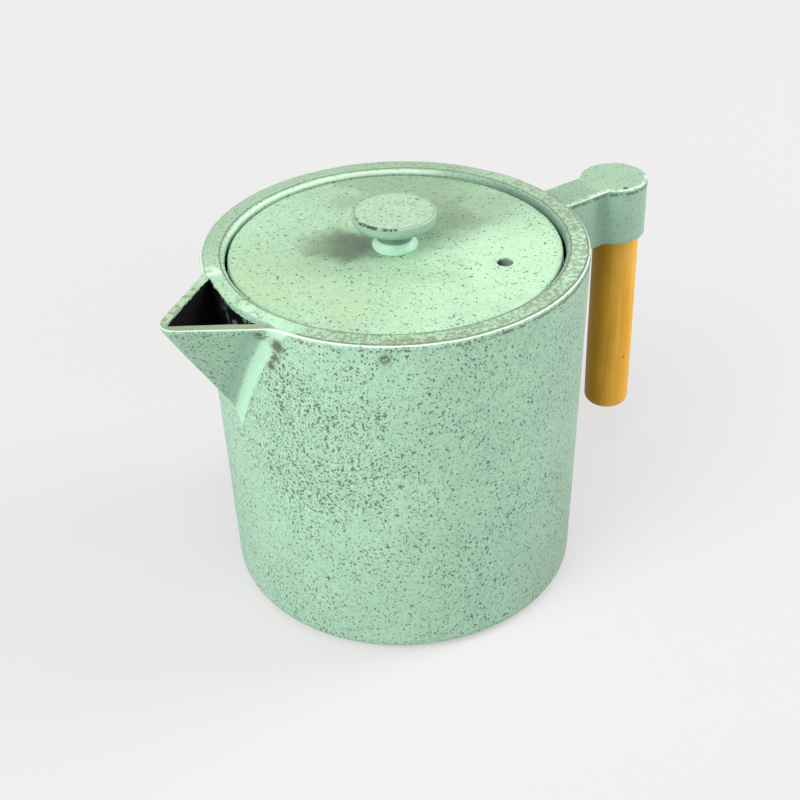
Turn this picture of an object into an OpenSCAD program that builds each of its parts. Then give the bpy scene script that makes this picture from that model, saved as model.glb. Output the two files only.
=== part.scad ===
// Cast iron teapot with an open pouring lip, a flat inset lid, a basket for the leaves
// and a wooden grip that hangs from a cast arm.
// Millimetres. The origin is the centre of the flat base. +Z is up, +X points to the grip
// and the lip points along -X.

/* [Pot] */
// Height from the flat base to the top of the rim
pot_h = 127; // [118:1:140]
// Outer radius at the rim
rim_r = 65; // [61:0.5:72]
// How much smaller the radius is at the base than at the rim
draft = 3.3; // [0.5:0.1:5]
// Thickness of the iron wall
wall_t = 4.6; // [4:0.1:5.2]
// Thickness of the iron floor
floor_t = 5; // [4:0.1:8]
// Rounding between the wall and the base
base_round = 5.5; // [3:0.1:8]
// Rounding between the floor and the wall, inside
well_round = 8; // [4:0.5:12]
// Rounding of the outer edge of the rim
rim_round = 1.5; // [0.4:0.1:2]
// Width of the flat band on top of the rim
band_w = 6.5; // [4.4:0.1:7]
// Rounding of the inner edge of the rim
lip_round = 1.5; // [0.8:0.1:3.2]
// Width of the ledge that carries the basket and the lid
ledge_w = 4.5; // [3.5:0.1:5.5]
// Thickness of the ledge at its inner edge
ledge_t = 2.5; // [2:0.1:4]

/* [Pouring lip] */
// How far the blunt tip reaches out from the rim
lip_reach = 23.6; // [18:0.1:28]
// Outer width where the lip leaves the rim
lip_w = 45.6; // [40:0.2:54]
// How far below the rim the keel of the lip meets the wall
lip_drop = 41; // [32:1:50]
// Distance from the blunt tip to the tip of the hollow
lip_edge = 1.9; // [1.6:0.1:3]
// Inner width of the lip, where its hollow meets the rim
lip_inner_w = 37; // [28:0.2:38]
// Depth of the hollow of the lip below the rim
lip_inner_drop = 33; // [28:0.5:36]
// How deep the hollow of the lip bites into the wall of the pot
lip_bite = 1.5; // [0.8:0.1:2]
// Size of the soft blend between the lip and the wall
lip_blend = 2.2; // [1.2:0.1:4]
// Size of the blunt end of the keel at the tip, which runs out towards the wall
keel_blend = 16; // [6:1:20]
// Radius of the passage from the pot into the lip
passage_r = 5; // [3:0.1:5.5]
// Distance from the rim down to the centre of the passage
passage_drop = 23; // [21:0.5:25]

/* [Lid] */
// Gap around the lid in the rim
lid_gap = 1; // [0.5:0.1:1.5]
// Thickness of the lid at its edge
lid_t = 4.4; // [3.5:0.1:6]
// How far the edge of the lid lies below the rim
lid_sink = 1.8; // [1:0.1:3]
// Rise of the lid from its edge to its centre
lid_rise = 0.6; // [0.2:0.1:2]
// Rounding of the upper edge of the lid
lid_round = 0.9; // [0.4:0.1:1.5]
// Depth of the ring under the lid that keeps it centred
lid_ring_h = 3.5; // [2:0.1:3.8]
// Thickness of the ring under the lid
lid_ring_t = 3; // [2:0.1:5]
// Radius of the steam vent
vent_r = 2.75; // [1.5:0.05:4]
// Distance from the centre of the lid to the steam vent
vent_at = 38; // [24:0.5:42]
// Direction of the steam vent, turned from the grip
vent_angle = -54.5; // [-180:0.5:180]

/* [Knob] */
// Height of the knob
knob_h = 13.2; // [11:0.1:18]
// Largest radius of the knob
knob_r = 14.1; // [11:0.1:18]
// Radius of the flat top of the knob
knob_top_r = 13.6; // [10:0.1:14]
// Height of the rolled side of the knob
knob_side_h = 4; // [2.5:0.1:5]
// Height of the slope under the disc of the knob
knob_slope_h = 2.6; // [1.5:0.1:3]
// Radius of the neck
neck_r = 5.6; // [5:0.1:8]
// Radius of the foot of the knob
foot_r = 7.5; // [6.5:0.1:10]
// Height of the foot of the knob
foot_h = 2.8; // [1.5:0.1:3]

/* [Basket] */
// Depth of the basket below the ledge
basket_h = 68; // [50:1:90]
// Thickness of the sheet steel
sheet_t = 0.5; // [0.4:0.05:0.8]
// Thickness of the flange that rests on the ledge
flange_t = 0.8; // [0.6:0.05:1.2]
// Gap between the collar of the basket and the ledge
basket_gap = 0.5; // [0.3:0.05:1]
// Height of the collars that clasp the perforated wall
collar_h = 6; // [4:0.5:8]
// Radius of one perforation
hole_r = 1.2; // [0.8:0.05:1.6]
// Perforations around the wall
holes_round = 30; // [20:1:36]
// Distance between rows of perforations
hole_pitch = 7.5; // [6:0.5:12]

/* [Arm and boss] */
// Distance from the rim out to the axis of the grip
grip_reach = 36.6; // [32:0.1:44]
// Distance from the rim down to the top of the arm
arm_drop = 5.5; // [4:0.5:9]
// Height of the arm
arm_h = 21.5; // [16:0.5:24]
// Width of the arm
arm_w = 15; // [12:0.5:20]
// Radius of the boss at the end of the arm
boss_r = 12.3; // [11.5:0.1:14]
// Distance from the axis of the grip back to the axis of the boss
boss_back = 2.7; // [0:0.1:3]
// How far the boss reaches below the arm
boss_chin = 0.5; // [0.5:0.5:6]
// Height of the rounded underside of the boss
chin_round = 5; // [2.5:0.1:6]
// Rounding of the top edge of the boss
boss_round = 1.2; // [0.5:0.1:2]
// Radius of the hollow blend between arm and boss
arm_blend = 3.5; // [2:0.5:12]

/* [Grip] */
// Length of the grip below the boss
grip_l = 77.1; // [55:0.1:85]
// Radius of the grip at the boss
grip_top_r = 8.5; // [7.5:0.1:9]
// Radius of the grip at its lower end
grip_end_r = 8.65; // [7.5:0.05:10]
// Rounding of the lower end of the grip
grip_round = 3.2; // [1:0.1:3.4]
// Radius of the tenon in the boss
tenon_r = 6; // [5:0.1:6.5]
// Length of the tenon
tenon_l = 11; // [8:0.5:12]
// Depth of the pocket for the bolt head
pocket_l = 7; // [5.5:0.1:12]
// Radius of the pocket for the bolt head
pocket_r = 5.2; // [5:0.1:5.6]

/* [Fasteners] */
// Radius of the thread of the bolt and of the screw
thread_r = 2.5; // [2:0.1:2.6]
// Length of thread that the bolt finds in the boss
boss_thread_l = 7; // [5:0.5:8]
// Length of thread that the screw finds in the knob
knob_thread_l = 8; // [6:0.5:9]
// Radius of a bolt head
head_r = 4.4; // [4:0.1:4.8]
// Height of a bolt head
head_h = 3; // [2.5:0.1:3.6]
// Thickness of a washer
washer_t = 0.9; // [0.6:0.1:1.2]

/* [Hidden] */

// Clearances
fit_gap = 0.05;        // a collar on a wall, a shank in its thread
tenon_gap = 0.1;       // the tenon in its socket
shank_gap = 0.25;      // a shank through a plain hole
end_gap = 0.5;         // the end of a tenon or a shank in its blind hole
washer_gap = 0.3;      // a washer in its pocket
ring_gap = 0.8;        // the ring under the lid, in the basket
flange_gap = 0.7;      // the flange of the basket, in the rim
chin_gap = 0.3;        // the flat underside of the boss, round the grip
over = 1;              // how far a cut runs past a face
skin_gap = 0.06;       // how far the end of the lip's blend dips into the wall

arc_steps = 6;         // straight steps in a rounded corner of a profile
$fn = 96;

// Radii and levels of the pot
recess_r = rim_r - band_w - lip_round;
ledge_r = recess_r - ledge_w;
lid_edge_z = pot_h - lid_sink;
lid_under_z = lid_edge_z - lid_t;
ledge_z = lid_under_z - flange_t;
ledge_root_z = ledge_z - ledge_t - (rim_r - wall_t - ledge_r);
lid_top_z = lid_edge_z + lid_rise;
lid_r = recess_r - lid_gap;

// Basket
collar_r = ledge_r - basket_gap;
basket_r = collar_r - sheet_t - fit_gap;
basket_in_r = basket_r - sheet_t;
basket_floor_z = ledge_z - basket_h;

// Arm, boss and grip
grip_x = rim_r + grip_reach;
boss_x = grip_x - boss_back;
arm_top_z = pot_h - arm_drop;
arm_under_z = arm_top_z - arm_h;
grip_top_z = arm_under_z - boss_chin;
grip_end_z = grip_top_z - grip_l;
chin_r = min(grip_top_r + boss_back + chin_gap, boss_r - 1);
pocket_z = grip_end_z + pocket_l;
socket_z = grip_top_z + tenon_l + end_gap;

// Outer radius of the plain wall at a level
function body_r(z) = rim_r - draft * (1 - z / pot_h);

// Points on an arc about [r, z], for a profile
function arc(r, z, radius, from, to) =
    [for (i = [0:arc_steps])
        let (a = from + (to - from) * i / arc_steps)
        [r + radius * cos(a), z + radius * sin(a)]];

// Larger or smaller of two values, with a soft passage of size k from one to the other
function soft_max(a, b, k) = max(a, b) + pow(max(k - abs(a - b), 0), 2) / (4 * k);
function soft_min(a, b, k) = -soft_max(-a, -b, k);

// ---- Pouring lip ---------------------------------------------------------------------

// Corners of one flank of the lip: sharp tip, keel root at the wall, and corner at the rim.
// The soft passage between the flanks takes a quarter of its size off the sharp tip.
keel_z = pot_h - lip_drop;
lip_tip = [-(rim_r + lip_reach + keel_blend / 4), 0, pot_h];
lip_root = [-body_r(keel_z), 0, keel_z];
lip_corner = [-sqrt(pow(rim_r, 2) - pow(lip_w / 2, 2)), lip_w / 2, pot_h];
flank = cross(lip_corner - lip_tip, lip_root - lip_tip);

// Distance from the axis to a flank, at an angle from -X and at a level
function flank_r(angle, z) =
    let (facing = flank * [-cos(angle), sin(angle), 0])
    facing < 0.05 * norm(flank) ? 3 * rim_r
        : min(3 * rim_r, flank * (lip_tip - [0, 0, z]) / facing);

// Size of the blunt keel at a level: full at the rim, a tenth of it at the root
function keel_size(z) = keel_blend * max(0.1, (z - keel_z) / lip_drop);

// Distance from the axis to the blended outside of lip and wall
function lip_r(angle, z) =
    soft_max(
        body_r(z),
        soft_min(flank_r(angle, z), flank_r(-angle, z), keel_size(z)),
        lip_blend);

// The part of the lip that stands out of the wall, as a grid of angles and levels
lip_steps = 28;
lip_levels = 18;
lip_margin = 1.7 * lip_blend;
lip_spread = asin((lip_w / 2 + lip_margin) / rim_r);
lip_low_z = keel_z - lip_margin;
lip_inside = wall_t / 2;
module lip_outside() {
    levels = [for (j = [0:lip_levels]) lip_low_z + (pot_h - lip_low_z) * j / lip_levels];
    angles = [for (i = [0:lip_steps])
        let (t = 2 * i / lip_steps - 1) lip_spread * sign(t) * pow(abs(t), 1.4)];
    columns = lip_steps + 1;
    sheet = columns * (lip_levels + 1);
    outer = [for (z = levels) for (a = angles)
        (lip_r(a, z) - skin_gap) * [-cos(a), sin(a), 0] + [0, 0, z]];
    inner = [for (z = levels) for (a = angles)
        (body_r(z) - lip_inside) * [-cos(a), sin(a), 0] + [0, 0, z]];
    skin = [for (j = [0:lip_levels - 1]) for (i = [0:lip_steps - 1])
        let (p = j * columns + i)
        [p, p + columns, p + columns + 1, p + 1]];
    back = [for (f = skin) [for (k = [3:-1:0]) f[k] + sheet]];
    top = lip_levels * columns;
    ends = [for (i = [0:lip_steps - 1]) [i, i + 1, i + 1 + sheet, i + sheet]];
    tops = [for (i = [0:lip_steps - 1])
        [top + i + 1, top + i, top + i + sheet, top + i + 1 + sheet]];
    sides = [for (j = [0:lip_levels - 1])
        let (p = j * columns)
        [p + columns, p, p + sheet, p + columns + sheet]];
    sides_far = [for (j = [0:lip_levels - 1])
        let (p = j * columns + lip_steps)
        [p, p + columns, p + columns + sheet, p + sheet]];
    quads = concat(skin, back, ends, tops, sides, sides_far);
    polyhedron(concat(outer, inner), [for (q = quads) each [[q[0], q[2], q[1]], [q[0], q[3], q[2]]]]);
}

// The hollow of the lip: three planes that meet at its keel, in front of the wall of the pot.
// They run past the wall and past the rim, and the wall stays.
module lip_hollow() {
    keel_run = 1.3;
    root_z = pot_h - lip_inner_drop;
    tip = [-(rim_r + lip_reach - lip_edge), 0, pot_h];
    root = [-(body_r(root_z) - lip_bite), 0, root_z];
    corner = [-sqrt(pow(rim_r - lip_bite, 2) - pow(lip_inner_w / 2, 2)), lip_inner_w / 2, pot_h];
    up = -(root - tip) * over / lip_inner_drop;
    keel_end = tip + keel_run * (root - tip);
    far = tip + keel_run * (corner - tip);
    points = [tip + up, far + up, [far[0], -far[1], far[2]] + up, keel_end];
    difference() {
        polyhedron(points, [[0, 3, 1], [0, 2, 3], [0, 1, 2], [1, 3, 2]]);
        rotate_extrude()
            polygon([
                [0, keel_end[2] - over],
                [body_r(keel_end[2] - over) - lip_bite, keel_end[2] - over],
                [body_r(pot_h + 2 * over) - lip_bite, pot_h + 2 * over],
                [0, pot_h + 2 * over]]);
    }
}

// ---- Pot casting ---------------------------------------------------------------------

module pot_shell() {
    foot = body_r(base_round) - base_round;
    well = body_r(floor_t + well_round) - wall_t - well_round;
    rotate_extrude($fn = 180)
        polygon(concat(
            [[0, 0]],
            arc(foot, base_round, base_round, -90, 0),
            arc(rim_r - rim_round, pot_h - rim_round, rim_round, 0, 90),
            arc(recess_r + lip_round, pot_h - lip_round, lip_round, 90, 180),
            [[recess_r, ledge_z], [ledge_r, ledge_z], [ledge_r, ledge_z - ledge_t],
             [body_r(ledge_root_z) - wall_t, ledge_root_z]],
            arc(well, floor_t + well_round, well_round, 0, -90),
            [[0, floor_t]]));
}

// Outline of the arm and the boss, seen from above
module arm_outline() {
    half = arm_w / 2;
    hollow_x = boss_x - sqrt(pow(boss_r + arm_blend, 2) - pow(half + arm_blend, 2));
    start_x = rim_r - draft - wall_t / 3;
    translate([start_x, -half])
        square([boss_x - start_x, arm_w]);
    for (side = [-1, 1])
        difference() {
            polygon([[hollow_x, 0], [hollow_x, side * (half + arm_blend)], [boss_x, 0]]);
            translate([hollow_x, side * (half + arm_blend)])
                circle(arm_blend);
        }
}

module boss() {
    translate([boss_x, 0, 0])
        rotate_extrude()
            polygon(concat(
                [[0, grip_top_z], [chin_r, grip_top_z],
                 [chin_r + (boss_r - chin_r) * 0.62, grip_top_z + chin_round * 0.3],
                 [boss_r - (boss_r - chin_r) * 0.08, grip_top_z + chin_round * 0.68],
                 [boss_r, grip_top_z + chin_round]],
                arc(boss_r - boss_round, arm_top_z - boss_round, boss_round, 0, 90),
                [[0, arm_top_z]]));
}

module pot_casting() {
    color("#a9cdb4")
        difference() {
            union() {
                pot_shell();
                lip_outside();
                translate([0, 0, arm_under_z])
                    linear_extrude(arm_h)
                        arm_outline();
                boss();
            }
            lip_hollow();
            translate([-rim_r, 0, pot_h - passage_drop])
                rotate([0, 90, 0])
                    cylinder(r = passage_r, h = 2 * wall_t + ledge_w);
            translate([grip_x, 0, grip_top_z - over])
                cylinder(r = tenon_r + tenon_gap, h = socket_z - grip_top_z + over);
            translate([grip_x, 0, socket_z - over])
                cylinder(r = thread_r + fit_gap, h = boss_thread_l + end_gap + over);
        }
}

// ---- Grip and its bolt -----------------------------------------------------------------

module grip() {
    color("#c8923c")
        translate([grip_x, 0, 0])
            difference() {
                rotate_extrude()
                    polygon(concat(
                        [[0, grip_end_z]],
                        arc(grip_end_r - grip_round, grip_end_z + grip_round, grip_round, -90, 0),
                        [[grip_top_r, grip_top_z], [tenon_r, grip_top_z],
                         [tenon_r, grip_top_z + tenon_l], [0, grip_top_z + tenon_l]]));
                translate([0, 0, grip_end_z - over])
                    cylinder(r = thread_r + shank_gap, h = grip_l + tenon_l + 2 * over);
                translate([0, 0, grip_end_z - over])
                    cylinder(r = pocket_r, h = pocket_l + over);
            }
}

// A washer whose upper face is at the level given
module washer(outer_r, top_z) {
    translate([0, 0, top_z - washer_t])
        difference() {
            cylinder(r = outer_r, h = washer_t);
            translate([0, 0, -over])
                cylinder(r = thread_r + shank_gap, h = washer_t + 2 * over);
        }
}

// A bolt that points up: its head hangs from the level given and has a six-sided socket
module bolt(under_head_z, end_z) {
    socket_r = head_r * 0.52;
    difference() {
        rotate_extrude()
            polygon([
                [0, under_head_z - head_h],
                [head_r - head_h * 0.25, under_head_z - head_h],
                [head_r, under_head_z - head_h * 0.75],
                [head_r, under_head_z],
                [thread_r, under_head_z],
                [thread_r, end_z],
                [0, end_z]]);
        translate([0, 0, under_head_z - head_h - over])
            cylinder(r = socket_r, h = head_h * 0.6 + over, $fn = 6);
    }
}

module grip_washer() {
    color("silver")
        translate([grip_x, 0, 0])
            washer(pocket_r - washer_gap, pocket_z);
}

module grip_bolt() {
    color("silver")
        translate([grip_x, 0, 0])
            bolt(pocket_z - washer_t, socket_z + boss_thread_l);
}

// ---- Basket ----------------------------------------------------------------------------

module basket_flange() {
    color("#b9bcbe")
        rotate_extrude()
            polygon([
                [basket_r + fit_gap, ledge_z - collar_h],
                [collar_r, ledge_z - collar_h],
                [collar_r, ledge_z],
                [recess_r - flange_gap, ledge_z],
                [recess_r - flange_gap, lid_under_z],
                [basket_in_r, lid_under_z],
                [basket_in_r, ledge_z],
                [basket_r + fit_gap, ledge_z]]);
}

module basket_wall() {
    low_z = basket_floor_z + sheet_t;
    first_z = basket_floor_z + collar_h + hole_pitch / 2;
    last_z = ledge_z - collar_h - hole_pitch / 2;
    rows = floor((last_z - first_z) / hole_pitch);
    spare = (last_z - first_z - rows * hole_pitch) / 2;
    color("#c4c7c9")
        difference() {
            translate([0, 0, low_z])
                cylinder(r = basket_r, h = ledge_z - low_z);
            translate([0, 0, low_z - over])
                cylinder(r = basket_in_r, h = ledge_z - low_z + 2 * over);
            for (row = [0:rows], i = [0:holes_round - 1])
                translate([0, 0, first_z + spare + row * hole_pitch])
                    rotate([0, 90, (i + (row % 2) / 2) * 360 / holes_round])
                        translate([0, 0, basket_in_r - over])
                            cylinder(r = hole_r, h = sheet_t + 2 * over, $fn = 16);
        }
}

module basket_floor() {
    ring_pitch = hole_pitch * 1.15;
    rings = floor((basket_in_r - 2 * hole_r) / ring_pitch);
    color("#b9bcbe")
        difference() {
            rotate_extrude()
                polygon([
                    [0, basket_floor_z], [collar_r, basket_floor_z],
                    [collar_r, basket_floor_z + collar_h],
                    [basket_r + fit_gap, basket_floor_z + collar_h],
                    [basket_r + fit_gap, basket_floor_z + sheet_t],
                    [0, basket_floor_z + sheet_t]]);
            for (ring = [1:rings], i = [0:6 * ring - 1])
                rotate([0, 0, i * 60 / ring])
                    translate([ring * ring_pitch, 0, basket_floor_z - over])
                        cylinder(r = hole_r, h = sheet_t + 2 * over, $fn = 16);
            translate([0, 0, basket_floor_z - over])
                cylinder(r = hole_r, h = sheet_t + 2 * over, $fn = 16);
        }
}

// ---- Lid and knob ------------------------------------------------------------------------

module lid_plate() {
    ring_r = basket_in_r - ring_gap;
    color("#add1b6")
        difference() {
            rotate_extrude($fn = 180)
                polygon(concat(
                    [[0, lid_under_z], [ring_r - lid_ring_t, lid_under_z],
                     [ring_r - lid_ring_t, lid_under_z - lid_ring_h],
                     [ring_r, lid_under_z - lid_ring_h],
                     [ring_r, lid_under_z], [lid_r, lid_under_z]],
                    arc(lid_r - lid_round, lid_edge_z - lid_round, lid_round, 0, 90),
                    [[foot_r, lid_top_z], [0, lid_top_z]]));
            translate([0, 0, lid_under_z - over])
                cylinder(r = thread_r + shank_gap, h = lid_t + lid_rise + 2 * over);
            rotate([0, 0, vent_angle])
                translate([vent_at, 0, lid_under_z - over])
                    cylinder(r = vent_r, h = lid_t + lid_rise + 2 * over);
        }
}

module lid_knob() {
    top_z = lid_top_z + knob_h;
    side_z = top_z - knob_side_h;
    slope_z = side_z - knob_slope_h;
    edge = knob_r - knob_top_r;
    color("#a9cdb4")
        difference() {
            rotate_extrude()
                polygon([
                    [0, lid_top_z],
                    [foot_r, lid_top_z],
                    [foot_r, lid_top_z + foot_h * 0.35],
                    [foot_r - (foot_r - neck_r) * 0.45, lid_top_z + foot_h * 0.8],
                    [neck_r, lid_top_z + foot_h * 1.4],
                    [neck_r, slope_z],
                    [knob_r - 2.2 * edge, side_z],
                    [knob_r, top_z - 1.6 * edge],
                    [knob_r - 0.2 * edge, top_z - 0.4 * edge],
                    [knob_top_r, top_z],
                    [0, top_z]]);
            translate([0, 0, lid_top_z - over])
                cylinder(r = thread_r + fit_gap, h = knob_thread_l + end_gap + over);
        }
}

module knob_washer() {
    color("silver")
        washer(head_r + 1.2, lid_under_z);
}

module knob_screw() {
    color("silver")
        bolt(lid_under_z - washer_t, lid_top_z + knob_thread_l);
}

pot_casting();
grip();
grip_washer();
grip_bolt();
basket_flange();
basket_wall();
basket_floor();
lid_plate();
lid_knob();
knob_washer();
knob_screw();
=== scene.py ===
# %% [markdown]
# # A cast iron teapot
# The pot is cast in one piece: a nearly straight wall, a flat base, a wide rim, a pouring
# lip that is open at the top, and a short arm with a boss. A flat lid with a knob lies in
# the rim, a steel basket hangs under it, and a wooden grip hangs from the boss.
# The construction is already made to size elsewhere. Here each piece gets its real surface,
# so the first step is to load that construction as a fixed frame and to note its box.

import math
from types import SimpleNamespace

import bpy
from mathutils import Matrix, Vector


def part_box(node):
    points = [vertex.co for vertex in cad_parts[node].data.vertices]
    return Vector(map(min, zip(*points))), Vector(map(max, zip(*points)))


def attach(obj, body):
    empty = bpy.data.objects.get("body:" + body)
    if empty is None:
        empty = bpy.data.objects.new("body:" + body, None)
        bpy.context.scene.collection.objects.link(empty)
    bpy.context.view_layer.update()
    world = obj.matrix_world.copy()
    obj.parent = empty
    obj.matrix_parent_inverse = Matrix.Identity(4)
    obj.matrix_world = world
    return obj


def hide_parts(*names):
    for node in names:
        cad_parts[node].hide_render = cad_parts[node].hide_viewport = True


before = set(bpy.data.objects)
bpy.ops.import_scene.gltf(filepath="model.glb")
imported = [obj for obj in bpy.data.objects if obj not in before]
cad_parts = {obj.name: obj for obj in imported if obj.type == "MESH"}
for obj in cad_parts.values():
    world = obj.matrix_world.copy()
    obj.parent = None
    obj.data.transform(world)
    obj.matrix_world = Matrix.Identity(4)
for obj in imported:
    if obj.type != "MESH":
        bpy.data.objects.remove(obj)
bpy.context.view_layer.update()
MM = 0.001
print("nodes:", list(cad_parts))

# %% [markdown]
# ## Sizes
# Every size comes from the frame, from a node's own box, or from a casting's usual
# dimensions in millimetres. A size that is read from the frame stays right when the
# construction changes.

# %% Sizes of the pot
pot_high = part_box("pot_casting")[1]
lid_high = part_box("lid_plate")[1]
knob_low, knob_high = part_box("lid_knob")
grip_low, grip_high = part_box("grip")
flange_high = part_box("basket_flange")[1]

RIM_Z = pot_high[2]
RIM_R = 65.0 * MM
BASE_R = 61.7 * MM
LID_R = lid_high[0]
LID_UNDER_Z = flange_high[2]
FLANGE_T = 0.8 * MM
LEDGE_Z = LID_UNDER_Z - FLANGE_T
GRIP_X = (grip_low[0] + grip_high[0]) / 2
BOSS_BACK = 2.7 * MM
BOSS_X = GRIP_X - BOSS_BACK
BOSS_R = pot_high[0] - BOSS_X
ARM_HALF_W = 7.5 * MM


def body_r(z):
    """Outer radius of the plain wall at a level, which is a number or a wire."""
    return BASE_R + (RIM_R - BASE_R) * z / RIM_Z


print(f"rim at {RIM_Z / MM:.1f} mm, grip at x {GRIP_X / MM:.1f} mm")

# %% [markdown]
# ## Camera
# The camera looks down on the pot from the side of the lip. It is described the way a
# photographer would: how far away, from which direction, how high, and how much it leans.

# %% Camera
CAMERA_DISTANCE = 0.520
CAMERA_AZIMUTH = math.radians(-124.76)
CAMERA_ELEVATION = math.radians(34.10)
CAMERA_ROLL = math.radians(-1.83)
AIM = Vector((0.0, 0.0, 0.0637))
FOCAL_LENGTH = 65.4

direction = Vector((
    math.cos(CAMERA_ELEVATION) * math.cos(CAMERA_AZIMUTH),
    math.cos(CAMERA_ELEVATION) * math.sin(CAMERA_AZIMUTH),
    math.sin(CAMERA_ELEVATION),
))
bpy.ops.object.camera_add(location=AIM + CAMERA_DISTANCE * direction)
camera = bpy.context.object
camera.name = "camera"
camera.data.lens = FOCAL_LENGTH
camera.data.sensor_width = 36.0
camera.data.clip_start = 0.01
camera.rotation_euler = direction.to_track_quat("Z", "Y").to_euler()
camera.rotation_euler.rotate_axis("Z", CAMERA_ROLL)
bpy.context.scene.camera = camera
print("camera at", [round(c, 4) for c in camera.location])

# %% [markdown]
# ## Floor and light
# A studio table: one pale sweep under the pot and large soft lamps round it. Large lamps
# are chosen because cast iron under paint shows a small lamp as hard sparks.
# What the camera sees behind the pot is made pale through Light Path, so the lamps
# can stay at a level where a colour renders as it is written.

# %% Floor
FLOOR_SIZE = 6.0
FLOOR_GAP = 0.2 * MM
bpy.ops.mesh.primitive_plane_add(size=FLOOR_SIZE, location=(0, 0, -FLOOR_GAP))
floor = bpy.context.object
floor.name = "floor"

# %% Lamps


def lamp(name, place, aim, size, power):
    """A square area lamp that faces a point. Metres and watts."""
    bpy.ops.object.light_add(type="AREA", location=place)
    made = bpy.context.object
    made.name = name
    made.data.size = size
    made.data.energy = power
    made.rotation_euler = (Vector(place) - Vector(aim)).to_track_quat("Z", "Y").to_euler()


lamp("left", (-0.78, -0.14, 0.68), (0, 0, 0.07), 0.55, 6.45)
lamp("right", (0.72, -0.30, 0.56), (0, 0, 0.09), 0.40, 4.7)
lamp("above", (-0.20, -0.28, 1.05), (0, 0, 0.10), 0.25, 1.6)

# %% World
world = bpy.data.worlds.new("studio")
bpy.context.scene.world = world
world.use_nodes = True
bpy.context.scene.view_settings.view_transform = "Standard"

# %% [markdown]
# ## Writing a shader as an expression
# A material is a small computation: a mask from some noise, a colour mixed by the mask, and
# a bump. Written as nodes and links that is hard to read. So a wire wraps one socket, and
# sums and products of wires add the Math nodes. Every other node comes from one method.

# %% The wire


class Wire:
    """One output socket in a node tree, with arithmetic."""

    def __init__(self, tree, socket):
        self.tree = tree
        self.socket = socket

    def node(self, kind, settings=None, sockets=None, out=0):
        """Add a node to the same tree: its settings first, then its sockets."""
        made = self.tree.nodes.new("ShaderNode" + kind)
        for name, value in (settings or {}).items():
            setattr(made, name, value)
        for name, value in (sockets or {}).items():
            if isinstance(value, Wire):
                self.tree.links.new(value.socket, made.inputs[name])
            else:
                made.inputs[name].default_value = value
        return Wire(self.tree, made.outputs[out])

    def math(self, operation, *others, swapped=False):
        """A Math node on this wire and the others, or on the others and this wire."""
        values = (self, *others)
        if swapped:
            values = values[::-1]
        return self.node("Math", {"operation": operation}, dict(enumerate(values)))

    def __add__(self, other):
        return self.math("ADD", other)

    __radd__ = __add__

    def __sub__(self, other):
        return self.math("SUBTRACT", other)

    def __rsub__(self, other):
        return self.math("SUBTRACT", other, swapped=True)

    def __mul__(self, other):
        return self.math("MULTIPLY", other)

    __rmul__ = __mul__

    def __truediv__(self, other):
        return self.math("DIVIDE", other)

    def hypot(self, other):
        """The distance from an axis, out of two coordinates."""
        return (self * self + other * other).math("SQRT")

    def step(self, low, high):
        """0 below low, 1 above high and a soft passage between them."""
        return self.node(
            "MapRange",
            {"interpolation_type": "SMOOTHSTEP"},
            {"Value": self, "From Min": low, "From Max": high},
        )

    def past(self, level, width_mm):
        """0 up to a level in metres, and 1 from a few millimetres past it."""
        return (self - level).step(0.0, width_mm * MM)

    def atop(self, other):
        """The larger of two masks."""
        return self.math("MAXIMUM", other)

    def noise(self, size, detail=2.0, roughness=0.5, stretch=(1, 1, 1), seed=0.0):
        """Noise on this place, with lumps of a size in metres."""
        scaled = self.node("Mapping", None, {
            "Vector": self, "Location": (seed, 1.7 * seed, 0.6 * seed),
            "Scale": tuple(1 / s for s in stretch),
        })
        return scaled.node("TexNoise", None, {
            "Vector": scaled, "Scale": 1 / size, "Detail": detail, "Roughness": roughness,
        })

    def cells(self, size, seed=0.0):
        """The distance from scattered points, one to a cell, as a share of the size."""
        there = (seed, 0.4 * seed, 2.3 * seed)
        moved = self.node("Mapping", None, {"Vector": self, "Location": there})
        return moved.node("TexVoronoi", {"feature": "F1"}, {"Vector": moved, "Scale": 1 / size})

    def axes(self):
        """The x, y and z of a place."""
        split = self.node("SeparateXYZ", None, {"Vector": self})
        outputs = split.socket.node.outputs
        return [Wire(self.tree, outputs[i]) for i in range(3)]

    def mix(self, first, second):
        """The first colour where this mask is 0, the second where it is 1."""
        return self.node("Mix", {"data_type": "RGBA"}, {0: self, 6: first, 7: second}, out=2)


# %% Materials made of wires


def new_material(name):
    """An empty material, and wires for a point's place and for where the surface faces."""
    material = bpy.data.materials.new(name)
    material.use_nodes = True
    tree = material.node_tree
    tree.nodes.clear()
    coordinates = tree.nodes.new("ShaderNodeTexCoord")
    place = Wire(tree, coordinates.outputs["Object"])
    facing = Wire(tree, coordinates.outputs["Normal"])
    return material, place, facing


def surface(place, **sockets):
    """A Principled shader. Sockets are given by name, with _ for a space."""
    named = {name.replace("_", " "): value for name, value in sockets.items()}
    return place.node("BsdfPrincipled", None, named)


def finish_material(material, shader):
    output = material.node_tree.nodes.new("ShaderNodeOutputMaterial")
    material.node_tree.links.new(shader.socket, output.inputs["Surface"])
    print(material.name, "has", len(material.node_tree.nodes), "nodes")
    return material


def bump(place, height, distance, below=None):
    """A normal from a height wire between 0 and 1, that stands distance metres high."""
    sockets = {"Height": height, "Distance": distance, "Strength": 1.0}
    if below is not None:
        sockets["Normal"] = below
    return place.node("Bump", None, sockets)


# %% [markdown]
# ## Floor and world finishes
# The floor is plain pale board with a trace of unevenness, and the world is an even white
# that lights the shadows.

# %% Finish of the floor
BACKDROP = (0.875, 0.862, 0.868, 1)


def seen_directly(tree):
    """1 for what the camera sees itself or mirrored, 0 for what only gives light."""
    path = tree.nodes.new("ShaderNodeLightPath")
    seen = Wire(tree, path.outputs["Is Camera Ray"])
    return seen.atop(Wire(tree, path.outputs["Is Glossy Ray"]))


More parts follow.
